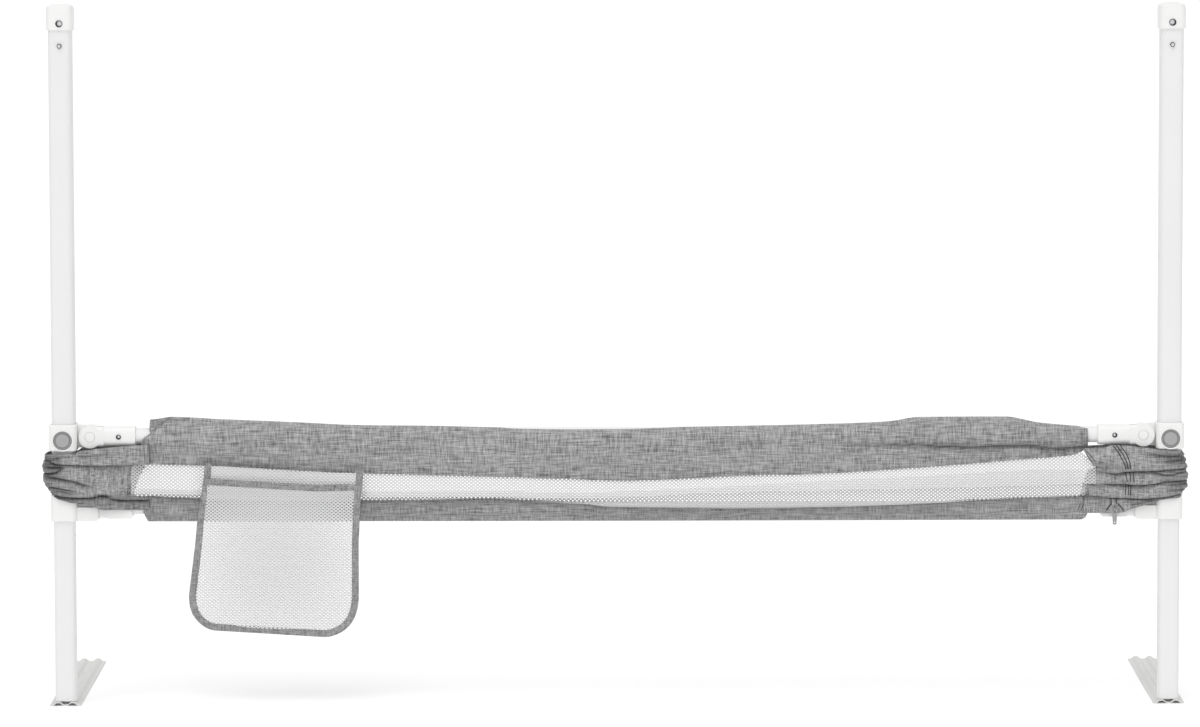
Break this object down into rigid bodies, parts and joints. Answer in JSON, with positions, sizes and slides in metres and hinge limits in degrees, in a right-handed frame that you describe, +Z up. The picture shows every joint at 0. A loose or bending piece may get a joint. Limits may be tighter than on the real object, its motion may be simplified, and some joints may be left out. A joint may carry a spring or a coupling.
{
  "type": "bed guard rail",
  "caption": "Free-standing side guard for a bed: a top rail slides down two telescoping posts, and its net and cloth cover gathers beneath it over a fixed lower rail.",
  "frame": {"origin": "on the floor, at the middle of the whole outline", "axes": "+X along the rail to the viewer's right, +Y from the outer side of the bed in over the foot plates, +Z up"},
  "size_m": [1.516, 0.4074, 0.931],
  "materials": {
    "white_steel": "white powder coat, satin",
    "plate_steel": "white powder coat on pressed sheet",
    "white_plastic": "moulded white plastic, satin",
    "grey_plastic": "moulded grey plastic",
    "chrome": "bright plated steel",
    "spring_steel": "bare spring steel and zinc",
    "grey_cloth": "grey melange weave",
    "white_net": "white knitted net"
  },
  "bodies": {
    "frame": {"left_post_tube": "white_steel", "left_post_cap": "white_plastic", "left_cap_screw": "chrome", "left_latch_spring": "spring_steel", "left_lower_bracket": "white_plastic", "left_bracket_screw": "chrome", "left_rail_fitting": "white_plastic", "left_height_spring": "spring_steel", "left_end_sleeve": "grey_cloth", "right_post_tube": "white_steel", "right_post_cap": "white_plastic", "right_cap_screw": "chrome", "right_latch_spring": "spring_steel", "right_lower_bracket": "white_plastic", "right_bracket_screw": "chrome", "right_rail_fitting": "white_plastic", "right_height_spring": "spring_steel", "right_end_sleeve": "grey_cloth", "lower_rail_tube": "white_steel", "lower_band": "grey_cloth", "mesh_panel": "white_net", "zip_slider": "grey_plastic"},
    "left_leg": {"left_foot_plate": "plate_steel", "left_leg_tube": "white_steel", "left_leg_plug": "white_plastic", "left_foot_screw_outer": "spring_steel", "left_foot_screw_inner": "spring_steel"},
    "left_slider": {"left_slider": "white_plastic", "left_button_spring": "spring_steel"},
    "left_button": {"left_release_button": "grey_plastic"},
    "left_latch": {"left_latch_pin": "chrome"},
    "left_height_lock": {"left_thumb_slide": "grey_plastic", "left_height_pin": "chrome"},
    "right_leg": {"right_foot_plate": "plate_steel", "right_leg_tube": "white_steel", "right_leg_plug": "white_plastic", "right_foot_screw_outer": "spring_steel", "right_foot_screw_inner": "spring_steel"},
    "right_slider": {"right_slider": "white_plastic", "right_button_spring": "spring_steel"},
    "right_button": {"right_release_button": "grey_plastic"},
    "right_latch": {"right_latch_pin": "chrome"},
    "right_height_lock": {"right_thumb_slide": "grey_plastic", "right_height_pin": "chrome"},
    "rail": {"left_rail_connector": "white_plastic", "left_pivot_pin": "white_plastic", "left_connector_screw": "chrome", "right_rail_connector": "white_plastic", "right_pivot_pin": "white_plastic", "right_connector_screw": "chrome", "top_rail_tube": "white_steel", "upper_sleeve": "grey_cloth", "mesh_pocket": "white_net"},
    "zip_pull": {"zip_pull": "grey_plastic"}
  },
  "joints": [
    {"name": "left_leg_slide", "type": "slide", "parent": "frame", "child": "left_leg", "axis": [0, 0, 1], "range_m": [-0.088, 0.077]},
    {"name": "right_leg_slide", "type": "slide", "parent": "frame", "child": "right_leg", "axis": [0, 0, 1], "range_m": [-0.088, 0.077]},
    {"name": "rail_lift", "type": "slide", "parent": "frame", "child": "left_slider", "axis": [0, 0, 1], "range_m": [0, 0.521], "deforming": ["mesh_panel", "left_end_sleeve", "right_end_sleeve"]},
    {"name": "rail_tilt", "type": "hinge", "parent": "left_slider", "child": "rail", "pos_m": [-0.6975, -0.17725, 0.358], "axis": [0, 1, 0], "range_deg": [-1.2, 0]},
    {"name": "right_level", "type": "hinge", "parent": "rail", "child": "right_slider", "pos_m": [0.6975, -0.17725, 0.358], "axis": [0, 1, 0], "range_deg": [0, 1.2]},
    {"name": "left_button_press", "type": "slide", "parent": "left_slider", "child": "left_button", "axis": [0, 1, 0], "range_m": [0, 0.0032], "stiffness_N_per_m": 400, "springref_m": -0.003, "deforming": ["left_button_spring"]},
    {"name": "right_button_press", "type": "slide", "parent": "right_slider", "child": "right_button", "axis": [0, 1, 0], "range_m": [0, 0.0032], "stiffness_N_per_m": 400, "springref_m": -0.003, "deforming": ["right_button_spring"]},
    {"name": "left_latch_press", "type": "slide", "parent": "frame", "child": "left_latch", "axis": [0, 1, 0], "range_m": [0, 0.0034], "stiffness_N_per_m": 300, "springref_m": -0.004, "deforming": ["left_latch_spring"]},
    {"name": "right_latch_press", "type": "slide", "parent": "frame", "child": "right_latch", "axis": [0, 1, 0], "range_m": [0, 0.0034], "stiffness_N_per_m": 300, "springref_m": -0.004, "deforming": ["right_latch_spring"]},
    {"name": "left_height_release", "type": "slide", "parent": "frame", "child": "left_height_lock", "axis": [1, 0, 0], "range_m": [0, 0.0045], "stiffness_N_per_m": 500, "springref_m": -0.004, "deforming": ["left_height_spring"]},
    {"name": "right_height_release", "type": "slide", "parent": "frame", "child": "right_height_lock", "axis": [-1, 0, 0], "range_m": [0, 0.0045], "stiffness_N_per_m": 500, "springref_m": -0.004, "deforming": ["right_height_spring"]},
    {"name": "zip_pull_swing", "type": "hinge", "parent": "frame", "child": "zip_pull", "pos_m": [0.6595, -0.19425, 0.25896], "axis": [1, 0, 0], "range_deg": [-120, 0]}
  ],
  "couplings": [
    {"joint": "right_leg_slide", "follows": "left_leg_slide", "ratio": 1},
    {"joint": "right_level", "follows": "rail_tilt", "ratio": -1}
  ]
}
